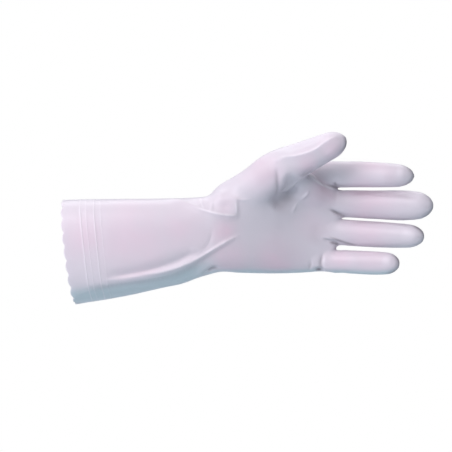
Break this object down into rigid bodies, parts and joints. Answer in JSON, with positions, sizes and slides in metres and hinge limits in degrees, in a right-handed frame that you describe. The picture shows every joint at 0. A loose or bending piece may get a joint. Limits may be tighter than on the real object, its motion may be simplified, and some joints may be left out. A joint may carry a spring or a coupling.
{
  "type": "flock-lined cleaning glove for the left hand",
  "caption": "Thin dipped vinyl glove for the left hand with a long pinked cuff, raised lines near its edge and a hollow flocked inside, in the form it has when worn.",
  "frame": {"origin": "centre of the cuff's mouth, where the hand and wrist go in and hold the glove", "axes": "+X from the cuff to the fingertips, +Z towards the thumb side, -Y out of the palm"},
  "size_m": [0.32, 0.0759, 0.1463],
  "materials": {
    "vinyl": "milky white dipped vinyl with a soft satin sheen",
    "flock": "short white cotton flock, matt"
  },
  "bodies": {
    "root": {"glove_shell": "vinyl"}
  },
  "joints": []
}
